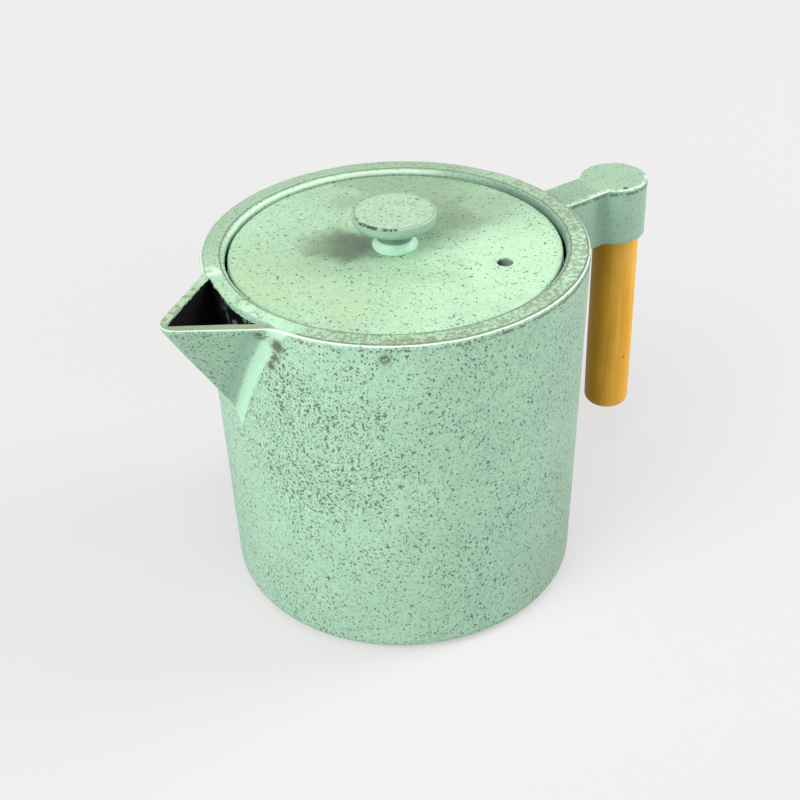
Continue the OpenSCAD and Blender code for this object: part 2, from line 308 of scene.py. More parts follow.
def floor_finish():
    material, place, _ = new_material("pale_floor")
    cloud = place.noise(0.25, detail=3)
    colour = cloud.mix((0.72, 0.71, 0.715, 1), (0.76, 0.75, 0.755, 1))
    board = surface(place, Base_Color=colour, Roughness=0.8, Specular_IOR_Level=0.1)
    x, y, _ = place.axes()
    far = x.hypot(y).step(0.05, 0.42)
    seen = seen_directly(place.tree)
    glow = place.node("Emission", None, {"Color": BACKDROP, "Strength": 1.0})
    sweep = place.node("MixShader", None, {0: seen * (0.55 + 0.43 * far), 1: board, 2: glow})
    return finish_material(material, sweep)


floor.data.materials.append(floor_finish())

# %% Finish of the world
SHADOW_LIGHT = 0.50
tree = world.node_tree
tree.nodes.clear()
level = SHADOW_LIGHT + seen_directly(tree) * (1 - SHADOW_LIGHT)
background = level.node("Background", None, {"Color": BACKDROP, "Strength": level})
output = tree.nodes.new("ShaderNodeOutputWorld")
tree.links.new(background.socket, output.inputs["Surface"])
print("backdrop", BACKDROP)

# %% [markdown]
# ## Paint on cast iron
# The iron keeps the grain of its sand mould, and the pale green paint lies thin over it.
# Dirt and bare iron show through as dark speckles, more of them in some patches than in
# others. Along sharp edges the paint is rubbed and a highlight is painted: a bright line
# with a dark one beside it.
# The speckles could be a picture, but noise that is cut off at a level gives them at their
# real size of under a millimetre all round the pot, with no seam.

# %% Colours of the paint
MINT = (0.405, 0.665, 0.477, 1)
MINT_PALE = (0.51, 0.80, 0.58, 1)
MINT_DEEP = (0.27, 0.455, 0.325, 1)
PIT_DARK = (0.105, 0.170, 0.120, 1)
RUBBED_DARK = (0.17, 0.19, 0.12, 1)
# Rubbed paint, and painted highlights on edges and on the roll:
PALE_WEAR_AND_HIGHLIGHT = (0.78, 0.95, 0.78, 1)
SMEAR_DARK = (0.105, 0.125, 0.085, 1)
ENAMEL_BLACK = (0.003, 0.003, 0.0035, 1)
print("mint paint", MINT)

# %% Masks round a point


def near(place, centre_mm, reach_mm, ragged):
    """A mask round a point, 1 at the point and 0 past its reach, with a ragged border."""
    apart = place.node(
        "VectorMath", {"operation": "DISTANCE"},
        {0: place, 1: tuple(c * MM for c in centre_mm)}, out=1,
    )
    apart = apart + (ragged - 0.5) * (reach_mm * 1.2 * MM)
    return 1 - apart.step(0.35 * reach_mm * MM, reach_mm * MM)


def near_any(place, marks_mm, ragged):
    """The largest of the masks round several points, each given with its reach."""
    first, *others = marks_mm
    mask = near(place, *first, ragged)
    for other in others:
        mask = mask.atop(near(place, *other, ragged))
    return mask


# %% Painted cast iron


def speckles(place, size, density, seed=0.0, stretch=(1, 1, 1)):
    """Small dark specks. A density of 0 leaves a few and 1 sets them side by side."""
    grain = place.noise(size, detail=2.0, roughness=0.55, seed=seed, stretch=stretch)
    dots = place.cells(1.15 * size, seed)
    near_dot = (0.46 - dots) * 0.22
    return (grain + near_dot - (0.635 - 0.085 * density)).step(0.0, 0.05)


def paint(place, colours, size, density, seed=0.0, stretch=(1, 1, 1)):
    """The colour of the painted iron, and the mask of its dark specks."""
    deep, plain, pale = colours
    cloud = place.noise(18 * MM, detail=3.0, roughness=0.5, seed=seed + 7.7)
    colour = (cloud.step(0.35, 0.70) * 0.30).mix(plain, pale)
    mottle = place.noise(1.5 * MM, detail=2.0, roughness=0.6, seed=seed + 1.3)
    colour = (mottle.step(0.48, 0.70) * 0.45).mix(colour, deep)
    colour = ((1 - mottle.step(0.30, 0.44)) * 0.45).mix(colour, pale)
    large = speckles(place, size, density, seed, stretch)
    small = speckles(place, size * 0.6, density, seed + 5.0, stretch)
    marks = (large * 0.95).atop(small * 0.55)
    return marks.mix(colour, PIT_DARK), marks


def cast_relief(place, strength, marks, seed=0.0):
    """The grain of the sand mould and the pits of the specks, as a normal."""
    coarse = place.noise(2.2 * MM, detail=3.0, roughness=0.55, seed=seed)
    pits = bump(place, 1 - marks, 0.06 * MM * strength)
    return bump(place, coarse, 0.20 * MM * strength, pits)


# %% [markdown]
# ## The pot's own finish
# The outside is mint paint. Inside, and in the hollow of the lip, the iron is coated with
# black enamel. One material holds both: a mask picks the enamel by where a point lies,
# so the border can be as ragged as a border that is painted by hand.

# %% Sizes of the lip and the rim
LIP_REACH = 23.6 * MM
LIP_W = 45.6 * MM
LIP_DROP = 41.0 * MM
LIP_BLEND = 2.2 * MM
KEEL_BLEND = 16.0 * MM
HOLLOW_EDGE = 1.9 * MM
HOLLOW_W = 37.0 * MM
HOLLOW_DROP = 33.0 * MM
HOLLOW_BITE = 1.5 * MM
BAND_W = 6.5 * MM
ARM_DROP = 5.5 * MM
LIP_ROUND = 1.5 * MM
RIM_ROUND = 1.5 * MM
RIM_IN_R = RIM_R - BAND_W
RECESS_R = RIM_IN_R - LIP_ROUND
print(f"recess radius {RECESS_R / MM:.1f} mm")

# %% Planes of the lip, for its masks and its mesh


def outward(corner, tip, root):
    """The direction away from the pot, square to a flank of the lip."""
    across = (corner - tip).cross(root - tip).normalized()
    return -across if across.x > 0 else across


lip_tip = Vector((-(RIM_R + LIP_REACH + KEEL_BLEND / 4), 0, RIM_Z))
lip_root = Vector((-body_r(RIM_Z - LIP_DROP), 0, RIM_Z - LIP_DROP))
lip_corner = Vector((-math.sqrt(RIM_R**2 - (LIP_W / 2) ** 2), LIP_W / 2, RIM_Z))
flank = outward(lip_corner, lip_tip, lip_root)

hollow_tip = Vector((-(RIM_R + LIP_REACH - HOLLOW_EDGE), 0, RIM_Z))
hollow_root_z = RIM_Z - HOLLOW_DROP
hollow_root = Vector((-(body_r(hollow_root_z) - HOLLOW_BITE), 0, hollow_root_z))
HOLLOW_BACK_R = RIM_R - HOLLOW_BITE
hollow_corner = Vector((
    -math.sqrt(HOLLOW_BACK_R**2 - (HOLLOW_W / 2) ** 2), HOLLOW_W / 2, RIM_Z
))
hollow_flank = outward(hollow_corner, hollow_tip, hollow_root)
print("lip flank faces", [round(c, 3) for c in flank])

# %% Where the pot's finish changes


def lip_masks(x, y, z, radius):
    """Masks of the lip's flanks, of its blend with the wall, of the shade beside the
    blend and of the hollow, and the distance outside the plain wall."""
    sideways = y.math("ABSOLUTE")

    def in_front(tip, side):
        return (x - tip.x) * side.x + sideways * side.y + (z - tip.z) * side.z

    off_wall = radius - body_r(z)
    lip_side = 1 - x.past(-0.6 * RIM_R, 1.0)
    outside = lip_side * off_wall.past(-1.2 * MM, 0.4)
    blend = outside * (1 - in_front(lip_tip, flank).step(1.6 * MM, 2.6 * MM))
    shade = blend * off_wall.step(1.0 * MM, 2.4 * MM) * (1 - off_wall.step(3.5 * MM, 7.0 * MM))
    blend = blend * (1 - off_wall.step(1.0 * MM, 2.0 * MM))
    flanks = outside * off_wall.step(2.6 * MM, 5.0 * MM)
    off_hollow = in_front(hollow_tip, hollow_flank)
    hollow_side = lip_side * (1 - off_hollow.past(0.35 * MM, 0.2))
    return flanks, blend, shade, hollow_side, off_wall


def ring_line(radius, middle, width, ragged):
    """A thin ragged line round the rim."""
    apart = (radius - middle + (ragged - 0.5) * (1.4 * width)).math("ABSOLUTE")
    return 1 - apart.step(0.25 * width, 0.65 * width)


# %% Colours of the pot's parts
# Painted shade of the wall on the grip's side and low down:
SHADED_MINT = (0.22, 0.33, 0.245, 1)
# Painted shade of the flanks, painted highlight of the blend and painted shade beside it:
FLANK_SHADE = (0.275, 0.475, 0.325, 1)
BLEND_HIGHLIGHT = (0.50, 0.84, 0.60, 1)
BLEND_SHADE = (0.215, 0.385, 0.28, 1)
ARM_TOP = (0.30, 0.42, 0.28, 1)
# Painted shade of the arm's sides and of the crease:
ARM_SIDE_SHADE = (0.335, 0.525, 0.395, 1)
CREASE_SHADE = (0.14, 0.275, 0.215, 1)
BOSS_TOP = (0.43, 0.645, 0.425, 1)
RIM_YELLOWED = (0.44, 0.67, 0.44, 1)
RIM_PALE = (0.56, 0.87, 0.60, 1)
RIM_DULL = (0.23, 0.29, 0.18, 1)
RIM_BLOTCH_DARK = (0.20, 0.31, 0.215, 1)
RIM_TARNISH = (0.25, 0.265, 0.165, 1)
# Painted shade of the rim's far side:
RIM_FAR_SHADE = (0.30, 0.42, 0.275, 1)
ROLL_SHADE = (0.15, 0.27, 0.205, 1)
LIP_TOP = (0.46, 0.62, 0.41, 1)
LIP_DIRT = (0.235, 0.255, 0.165, 1)
ENAMEL_SMUDGE = (0.14, 0.21, 0.20, 1)

# Marks, with their places and reaches in millimetres
SMEARS = (
    ((-60.7, -22.6, 121.0), 3.8), ((-61.2, -21.2, 116.5), 2.8),
    ((-61.8, -19.6, 112.5), 2.2), ((-64.6, -20.0, 124.3), 3.4),
    ((-40.3, -50.9, 122.3), 2.6),
)
FLAW_AT = (95.6, -9.7, 121.3)
print("marks on the pot:", len(SMEARS) + 1)

# %% What the parts of the pot's finish share


def pot_places(place, facing):
    """The noises and masks that several parts of the pot's finish read."""
    x, y, z = place.axes()
    _, _, up = facing.axes()
    radius = x.hypot(y)
    at = SimpleNamespace(place=place, x=x, y=y, z=z, up=up, radius=radius)
    at.ragged = place.noise(3.5 * MM, detail=4.0, roughness=0.65, seed=11.0)
    at.rough = place.noise(9.0 * MM, detail=3.0, roughness=0.6, seed=13.0)
    at.flanks, at.blend, at.shade, at.hollow_side, at.off_wall = lip_masks(x, y, z, radius)
    at.flat = up.step(0.93, 0.985) * z.past(RIM_Z - 0.9 * MM, 0.3)
    at.worn = (at.rough + (x * 0.10 - y * 0.22) / RIM_R - 0.5).step(-0.10, 0.12)
    return at


# %% Paint of the wall
SPECK = 0.92 * MM


def wall_paint(at):
    """Specks, thick beside the lip, and painted shade low down and on the grip's side."""
    patches = at.place.noise(24 * MM, detail=3.0, seed=3.1)
    density = 0.25 + patches.step(0.35, 0.68) * 0.45
    density = density + near(at.place, (-57, -31, 84), 38, at.rough) * 0.50
    density = density + near(at.place, (-61, -24, 108), 16, at.rough) * 0.50
    density = density - at.blend.atop(at.shade * 0.55)
    density = density + at.flanks * 0.25
    mints = (MINT_DEEP, MINT, MINT_PALE)
    colour, marks = paint(at.place, mints, SPECK, density, stretch=(1, 1, 1.2))
    # Painted shade: the wall is darker toward the grip's side and low down, most on the right.
    grip_side_shade = (at.x / RIM_R).step(-0.10, 0.75) * (1 - marks)
    colour = (grip_side_shade * 0.51).mix(colour, SHADED_MINT)
    low_shade = 1 - at.z.step(8 * MM, 70 * MM)
    low_shade = low_shade * (0.3 + 0.7 * (at.x / RIM_R).step(-0.40, 0.70))
    return (low_shade * (1 - marks) * 0.45).mix(colour, SHADED_MINT), marks


print("specks of", SPECK / MM, "mm")

# %% Paint of the lip and the arm
CREASE_X = 86.5 * MM
BOSS_FROM_X = 84 * MM


def lip_paint(at, colour, marks):
    """Painted shade on the flanks, a painted highlight on the blend, and painted shade and a smear
    of dirt beside it.
    """
    # Painted shade on the lip's flanks.
    colour = (at.flanks * (1 - marks) * 0.62).mix(colour, FLANK_SHADE)
    # Painted highlight on the blend, and painted shade beside it.
    colour = (at.blend * 0.85).mix(colour, BLEND_HIGHLIGHT)
    colour = (at.shade * 0.55).mix(colour, BLEND_SHADE)
    smear = near_any(at.place, SMEARS, at.ragged) * at.ragged.step(0.40, 0.50)
    return (smear * 0.95).mix(colour, SMEAR_DARK)


def arm_paint(at, colour, marks):
    """A pale boss, painted shade on the arm's sides and in the crease by the boss, and a casting
    flaw's pit.
    """
    beyond = at.x.past(RIM_R + 1.0 * MM, 2.0)
    colour = (beyond * at.up.step(0.5, 0.9) * 0.30).mix(colour, ARM_TOP)
    boss_top = at.x.past(BOSS_FROM_X, 5) * at.up.step(0.8, 0.95) * (1 - marks)
    colour = (boss_top * 0.45).mix(colour, BOSS_TOP)
    # Painted shade on the sides of arm and boss.
    colour = (beyond * (1 - at.up.step(0.3, 0.8)) * 0.55).mix(colour, ARM_SIDE_SHADE)
    # Painted shade in the crease where arm and boss meet.
    crease_shade = 1 - (at.x - CREASE_X).math("ABSOLUTE").step(0.5 * MM, 6 * MM)
    crease_shade = crease_shade * beyond * (1 - at.up.step(0.2, 0.6))
    colour = (crease_shade * 0.60).mix(colour, CREASE_SHADE)
    return (near(at.place, FLAW_AT, 1.5, at.ragged) * 0.9).mix(colour, SMEAR_DARK)


# %% Paint on the flat of the rim


def rim_paint(at, colour, marks):
    """Yellower than the wall, pale beside the lip, dull where it is handled, in painted shade on
    the far side.
    """
    place, flat, rough = at.place, at.flat, at.rough
    streak = place.noise(1.5 * MM, detail=3.0, roughness=0.6, seed=21.0)
    blotch = place.noise(2.6 * MM, detail=4.0, roughness=0.6, seed=25.0)
    colour = (flat * (1 - marks) * 0.65).mix(colour, RIM_YELLOWED)
    rubbed = near_any(place, (((-62, -12, 127), 20), ((44, -42, 127), 26)), rough)
    colour = (flat * rubbed * 0.65).mix(colour, RIM_PALE)
    dull = flat * at.worn * streak.step(0.43, 0.57)
    colour = (dull * 0.75).mix(colour, RIM_DULL)
    # Dark blotches on the inner part of the flat, round a point on the grip's side.
    rim_blotches = flat * near(place, (58, -22, 127), 34, rough) * blotch.step(0.50, 0.60)
    rim_blotches = rim_blotches * (1 - at.radius.past(RIM_R - 3.2 * MM, 1.6))
    colour = (rim_blotches * 0.60).mix(colour, RIM_BLOTCH_DARK)
    # A pale patch on the flat beside the lip's hollow.
    pale_patch = flat * near(place, (-57.8, 20.8, 127), 5, at.ragged) * blotch.step(0.42, 0.54)
    colour = (pale_patch * 0.85).mix(colour, PALE_WEAR_AND_HIGHLIGHT)
    tarnish = flat * near(place, (-30, -56, 127), 19, rough) * streak.step(0.38, 0.50)
    tarnish = tarnish * at.radius.past(RIM_R - 4.8 * MM, 1.4)
    colour = (tarnish * 0.65).mix(colour, RIM_TARNISH)
    # Painted shade: the far side of the rim is darker.
    rim_far_shade = flat * (at.y / at.radius).step(0.20, 0.65) * (1 - marks)
    return (rim_far_shade * 0.55).mix(colour, RIM_FAR_SHADE)


def lip_top_paint(at, colour):
    """The flat of the lip: a dirty olive on the near side, pale on the far side."""
    lip_top = at.flat * (1 - at.x.step(-61 * MM, -58 * MM))
    lip_top = lip_top * at.radius.past(RIM_R - 1.0 * MM, 0.8)
    near_side = 1 - at.y.step(-1 * MM, 2 * MM)
    colour = (lip_top * (1 - near_side) * 0.7).mix(colour, LIP_TOP)
    dirty = lip_top * near_side.atop(at.ragged.step(0.50, 0.56))
    return (dirty * 0.78).mix(colour, LIP_DIRT)


# %% Lines and rubbed edges of the rim


def rim_lines(at, colour):
    """Thin dark lines inside both edges of the rim, and painted shade and highlight on the roll to
    the lid.
    """
    outer = ring_line(at.radius, RIM_R - 0.95 * MM, 0.8 * MM, at.ragged) * at.up.step(0.76, 0.84)
    inner = ring_line(at.radius, RIM_IN_R - 0.1 * MM, 0.7 * MM, at.ragged) * at.up.step(0.5, 0.8)
    lines = (outer * (0.35 + 0.65 * at.worn)).atop(inner)
    near_rim = at.z.past(RIM_Z - 1.4 * MM, 0.3)
    colour = (lines * near_rim * at.ragged.step(0.26, 0.40) * 0.85).mix(colour, RUBBED_DARK)
    # Painted shade on the roll on the grip's side, and a painted highlight on its far side.
    roll = (1 - (at.radius - RIM_IN_R).step(-0.5 * MM, 0.0)) * (1 - at.up.step(0.55, 0.95))
    far = at.y / at.radius
    shaded = (1 - far.step(0.12, 0.46)) * (at.x / RECESS_R).step(0.10, 0.60)
    colour = (roll * (0.12 + 0.68 * shaded)).mix(colour, ROLL_SHADE)
    gleam = roll * far.step(0.48, 0.78) * at.z.past(RIM_Z - 2.0 * MM, 0.4)
    return (gleam * 0.85).mix(colour, PALE_WEAR_AND_HIGHLIGHT)


def worn_and_lit_edges(at, colour):
    """The edges of rim, lip and arm: rubbed paint with a painted highlight, over a dark, broken
    line.
    """
    on_arm = at.x.past(RIM_R + 2.5 * MM, 2.0)
    under_top = RIM_Z - on_arm * ARM_DROP - at.z
    on_lip = 1 - at.x.past(-0.9 * RIM_R, 4)
    wide = on_arm.atop(on_lip * 0.5)
    edge = (at.up + wide * 0.12).step(0.52, 0.62)
    edge = edge * (1 - (at.up - wide * 0.1).step(0.78, 0.86))
    edge = edge * (1 - under_top.step(1.3 * MM, 1.9 * MM)) * (1 - at.hollow_side * 0.7)
    outside_edge = at.radius.past(RIM_R - 3.0 * MM, 0.5)
    under_edge = under_top + on_arm * (0.5 * MM)
    below_edge = under_edge.step(1.0 * MM, 1.4 * MM) * (1 - under_edge.step(2.1 * MM, 2.8 * MM))
    fine = at.place.noise(1.1 * MM, detail=3.0, roughness=0.7, seed=23.0)
    broken = fine + 0.5 * (at.ragged - 0.5) + at.x * (0.11 / RIM_R) - on_arm * 0.14
    broken = broken.step(0.42, 0.52) * (1 - at.up.step(0.10, 0.45))
    below = below_edge * broken * outside_edge * (1 - at.blend)
    colour = (below * 0.80).mix(colour, SMEAR_DARK)
    # Painted highlight on the rounded edges, over rubbed paint.
    bright = edge * outside_edge * at.ragged.step(0.24, 0.40)
    colour = (bright * 0.92).mix(colour, PALE_WEAR_AND_HIGHLIGHT)
    from_boss = (at.x - BOSS_X).hypot(at.y)
    toward_edge = (at.y.math("ABSOLUTE") - ARM_HALF_W).math("MINIMUM", from_boss - BOSS_R)
    # Rubbed paint and a painted highlight along the top edges of arm and boss, strongest on the
    # near side.
    chafe_and_highlight = on_arm * toward_edge.past(-2.2 * MM, 1.4) * at.up.step(0.3, 0.6)
    torn = fine + 0.6 * (at.ragged - 0.5) - at.y * (0.05 / ARM_HALF_W)
    return (chafe_and_highlight * torn.step(0.50, 0.58) * 0.85).mix(colour, PALE_WEAR_AND_HIGHLIGHT)


# %% Black enamel of the pot


def enamel_masks(at):
    """The enamel inside the pot and in the lip's hollow, and a smudge in the hollow."""
    wobble = (at.ragged - 0.5) * (2.4 * MM)
    inside = (1 - at.off_wall.past(-2.5 * MM, 0.3)) * at.z.step(2.5 * MM, 2.8 * MM)
    inside = inside * (1 - (at.z - (RIM_Z - 4.0 * MM) + wobble * 0.5).step(0.0, 0.4 * MM))
    beyond_wall = at.radius.past(HOLLOW_BACK_R - 0.9 * MM, 0.3)
    in_hollow = at.hollow_side * beyond_wall
    far_side = at.y.step(-4 * MM, 6 * MM)
    on_wall = 1 - at.radius.past(HOLLOW_BACK_R + 0.2 * MM, 0.5)
    border = RIM_Z - (2.6 - 2.0 * far_side) * MM
    border = border + (1 - on_wall) * (1.6 - 1.6 * far_side) * MM
    enamelled = in_hollow * (1 - (at.z - border + wobble * 0.7).step(0.0, 0.4 * MM))
    smudge = on_wall * at.z.past(RIM_Z - 13 * MM, 8) * at.ragged.step(0.46, 0.60)
    smudge = smudge * in_hollow * (1 - at.y.step(0.0, 9 * MM))
    return inside.atop(enamelled), smudge


# %% Finish of the pot


def pot_finish():
    material, place, facing = new_material("pot_paint")
    at = pot_places(place, facing)
    colour, marks = wall_paint(at)
    colour = lip_paint(at, colour, marks)
    colour = arm_paint(at, colour, marks)
    colour = rim_paint(at, colour, marks)
    colour = rim_lines(at, colour)
    colour = lip_top_paint(at, colour)
    colour = worn_and_lit_edges(at, colour)
    outside = surface(
        place, Base_Color=colour, Roughness=0.48 + marks * 0.2,
        Normal=cast_relief(place, 1.0, marks), Specular_IOR_Level=0.40,
    )
    black, smudge = enamel_masks(at)
    enamel = surface(
        place, Base_Color=(smudge * 0.8).mix(ENAMEL_BLACK, ENAMEL_SMUDGE),
        Roughness=0.5 + 0.2 * at.ragged,
        Normal=bump(place, place.noise(3 * MM, detail=2.0), 0.08 * MM),
        Specular_IOR_Level=0.06,
    )
    both = place.node("MixShader", None, {0: black, 1: outside, 2: enamel})
    return finish_material(material, both)


# %% [markdown]
# ## Finishes of the lid and the knob
# Lid and knob have the same paint, and the rim of the knob is chipped. On the lid lie large
# soft patches of painted light and shade: a sheen towards the front, shade on the far side
# and the knob's shadow round it. The patches are masks round points on the lid. A painted
# map would need an unwrapped lid for the same result.

# %% Places and colours of the lid
VENT_R = 2.75 * MM
VENT_AT = 38.0 * MM
VENT_ANGLE = math.radians(-54.5)
vent_x = VENT_AT * math.cos(VENT_ANGLE)
vent_y = VENT_AT * math.sin(VENT_ANGLE)
VENT_MM = (vent_x / MM, vent_y / MM, lid_high[2] / MM)

LID_GREENS = ((0.31, 0.475, 0.315, 1), (0.415, 0.635, 0.42, 1), (0.52, 0.79, 0.53, 1))
# Painted sheen, and painted shade of the lid's far side:
LID_SHEEN = (0.565, 0.86, 0.58, 1)
LID_FAR_SHADE = (0.25, 0.38, 0.23, 1)
LID_YELLOWED = (0.48, 0.64, 0.36, 1)
# Painted shadow of the knob and round its foot:
LID_KNOB_SHADOW = (0.155, 0.23, 0.13, 1)
FOOT_SHADE = (0.12, 0.18, 0.125, 1)
# Painted shade in the steam hole:
VENT_WALL_SHADE = (0.19, 0.30, 0.265, 1)
VENT_SHADE = (0.02, 0.03, 0.028, 1)
print("steam hole at", [round(c, 1) for c in VENT_MM], "mm")

# %% Finish of the lid


def lid_patches(place, colour, clean, rough):
    """Large soft patches: a painted sheen, painted far shade, yellowed paint, and the knob's
    painted shadow.
    """
    # Painted sheen: the lid is brighter towards the front.
    bright = near(place, (30, -36, 125.6), 44, rough)
    bright = bright.atop(near(place, (-10, -44, 125.6), 30, rough) * 0.6)
    colour = (bright * clean * 0.70).mix(colour, LID_SHEEN)
    # Painted shade on the far side of the lid.
    lid_far_shade = near(place, (34, 38, 125.6), 40, rough)
    lid_far_shade = lid_far_shade.atop(near(place, (40, 8, 125.6), 24, rough) * 0.7)
    colour = (lid_far_shade * clean * 0.78).mix(colour, LID_FAR_SHADE)
    yellowed = near_any(place, (((-42, 6, 125.5), 26), ((-34, -22, 125.5), 14)), rough)
    colour = (yellowed * clean * 0.40).mix(colour, LID_YELLOWED)
    # Painted shadow of the knob on both sides of it.
    knob_shadow = near(place, (-14, 13, 125.7), 16, rough)
    knob_shadow = knob_shadow.atop(near(place, (23, 5, 125.7), 19, rough) * 0.6)
    colour = (knob_shadow * clean * 0.76).mix(colour, LID_KNOB_SHADOW)
    # Painted shadow beside the knob's foot.
    beside_foot = near(place, (-10, 8, 125.7), 14, rough)
    return (beside_foot * clean * 0.75).mix(colour, FOOT_SHADE)


def lid_finish():
    material, place, _ = new_material("lid_paint")
    rough = place.noise(9.0 * MM, detail=3.0, roughness=0.6, seed=43.0)
    patches = place.noise(20 * MM, detail=3.0, seed=44.0)
    density = patches.step(0.40, 0.70) * 0.40 + 0.05
    x, y, z = place.axes()
    colour, marks = paint(place, LID_GREENS, 1.0 * MM, density, 40.0, (0.9, 1.35, 1))
    colour = lid_patches(place, colour, 1 - marks, rough)
    knock = near(place, (-11.5, 15.3, 125.7), 3.2, rough) * speckles(place, 1.5 * MM, 1.3, 47.0)
    colour = (knock * 0.9).mix(colour, SMEAR_DARK)
    scrape = near(place, VENT_MM, 5.5, rough) * speckles(place, 1.2 * MM, 0.9, 48.0)
    colour = (scrape * 0.8).mix(colour, SMEAR_DARK)
    # Painted shade inside the steam hole, darkest on one side.
    below_top = 1 - z.past(lid_high[2] - 1.1 * MM, 0.4)
    in_vent = near(place, VENT_MM, 9, 0.5) * below_top
    colour = (in_vent * 0.9).mix(colour, VENT_WALL_SHADE)
    shaded_side = (0.57 * (y - vent_y) - 0.82 * (x - vent_x)).step(0.4 * MM, 1.9 * MM)
    colour = (in_vent * shaded_side * 0.80).mix(colour, VENT_SHADE)
    return finish_material(material, surface(
        place, Base_Color=colour, Roughness=0.45 + marks * 0.2,
        Normal=cast_relief(place, 0.45, marks, 40.0), Specular_IOR_Level=0.40,
    ))


# %% Finish of the knob
KNOB_TOP_R = 13.6 * MM
KNOB_GREENS = ((0.31, 0.45, 0.30, 1), (0.43, 0.625, 0.415, 1), (0.51, 0.73, 0.49, 1))
# Painted shade of the knob's side, painted highlight of its foot and painted shadow on its neck:
KNOB_SIDE_SHADE = (0.31, 0.505, 0.40, 1)
KNOB_FOOT_HIGHLIGHT = (0.60, 0.95, 0.74, 1)
KNOB_NECK_SHADOW = (0.16, 0.285, 0.225, 1)
CHIP_DARK = (0.035, 0.042, 0.030, 1)


def knob_finish():
    material, place, facing = new_material("knob_paint")
    _, _, up = facing.axes()
    x, y, z = place.axes()
    radius = x.hypot(y)
    on_top = z.past(knob_high[2] - 0.8 * MM, 0.4)
    colour, marks = paint(place, KNOB_GREENS, 0.9 * MM, on_top * 0.35 - 0.1, 60.0)
    ragged = place.noise(2.5 * MM, detail=4.0, roughness=0.65, seed=65.0)
    # Painted shade on the knob's side.
    colour = ((1 - up.step(0.70, 0.95)) * 0.8).mix(colour, KNOB_SIDE_SHADE)
    outline = ring_line(radius, KNOB_TOP_R - 0.35 * MM, 0.55 * MM, ragged) * on_top
    colour = (outline * ragged.step(0.30, 0.44) * 0.60).mix(colour, RUBBED_DARK)
    past_edge = radius + (ragged - 0.5) * (1.6 * MM) - (KNOB_TOP_R - 0.7 * MM)
    chips = on_top * past_edge.step(0.0, 0.3 * MM) * (1 - up.step(0.995, 1.0) * 0.3)
    toward_chips = (x * -0.92 + y * -0.37) / KNOB_TOP_R
    chips = chips * (ragged + 0.21 * toward_chips.step(0.70, 0.98)).step(0.60, 0.70)
    colour = (chips * 0.95).mix(colour, CHIP_DARK)
    # Painted highlight on the flared foot.
    foot = 1 - z.past(knob_low[2] + 3.2 * MM, 0.4)
    colour = (foot * 0.90).mix(colour, KNOB_FOOT_HIGHLIGHT)
    # Painted shadow of the cap on the neck.
    neck = (1 - foot) * (1 - z.past(knob_high[2] - 4.7 * MM, 0.9))
    colour = (neck * 0.80).mix(colour, KNOB_NECK_SHADOW)
    return finish_material(material, surface(
        place, Base_Color=colour, Roughness=0.38 + 0.1 * ragged,
        Normal=cast_relief(place, 0.30, marks, 60.0), Specular_IOR_Level=0.45,
    ))


# %% [markdown]
# ## Wood and steel
# The grip is a straight-grained, honey coloured wood under oil: long fibres that run up
# the grip, a few darker streaks, one small knot. The basket is satin sheet steel.
# A picture of wood would have to be wrapped round the stick. Noise that is stretched
# along the grip runs through it like real fibres, so its end needs no seam.

# %% Finish of the grip
WOOD_DEEP = (0.82, 0.40, 0.02, 1)
WOOD_HONEY = (0.97, 0.53, 0.066, 1)
WOOD_PALE = (0.985, 0.56, 0.11, 1)
# Painted shade of the grip's side that faces the pot:
GRIP_SHADED_SIDE = (0.40, 0.165, 0.001, 1)
FIBRE_DARK = (0.40, 0.17, 0.014, 1)
KNOT_DARK = (0.22, 0.085, 0.008, 1)
KNOT = (((101.5, -8.6, 46.3), 1.0), ((101.6, -8.5, 47.5), 0.7))


def wood_finish():
    material, place, _ = new_material("grip_wood")
    centred = place.node("Mapping", None, {"Vector": place, "Location": (-GRIP_X, 0, 0)})
    fibres = centred.noise(0.9 * MM, detail=4.0, roughness=0.6, stretch=(1, 1, 28))
    streaks = centred.noise(3.2 * MM, detail=3.0, roughness=0.55, stretch=(1, 1, 16), seed=4.0)
    cloud = centred.noise(14 * MM, detail=2.0, stretch=(1, 1, 2.5), seed=9.0)
    colour = streaks.step(0.30, 0.72).mix(WOOD_DEEP, WOOD_HONEY)
    colour = (cloud.step(0.35, 0.7) * 0.40).mix(colour, WOOD_PALE)
    x, y, _ = centred.axes()
    # Painted shade on the side of the grip that faces the pot.
    lit_side = (0.83 * x - 0.56 * y + (cloud - 0.5) * (6 * MM)).step(-7.0 * MM, 2.5 * MM)
    colour = ((1 - lit_side) * 0.88).mix(colour, GRIP_SHADED_SIDE)
    colour = ((1 - fibres.step(0.34, 0.50)) * 0.22).mix(colour, FIBRE_DARK)
    colour = (near_any(place, KNOT, fibres) * 0.65).mix(colour, KNOT_DARK)
    return finish_material(material, surface(
        place, Base_Color=colour, Roughness=0.42 + 0.15 * fibres,
        Normal=bump(place, fibres, 0.05 * MM), Specular_IOR_Level=0.22,
    ))


# %% Finish of the basket and the fasteners


def steel_finish(name, tint, streak_axis):
    material, place, _ = new_material(name)
    stretch = [1, 1, 1]
    stretch[streak_axis] = 30
    brushed = place.noise(0.5 * MM, detail=3.0, roughness=0.6, stretch=stretch)
    stains = place.noise(9 * MM, detail=3.0, seed=3.0)
    colour = stains.step(0.3, 0.7).mix(tint, tuple(c * 1.15 for c in tint[:3]) + (1,))
    return finish_material(material, surface(
        place, Base_Color=colour, Metallic=1.0, Roughness=0.26 + 0.18 * brushed,
        Normal=bump(place, brushed, 0.02 * MM),
    ))


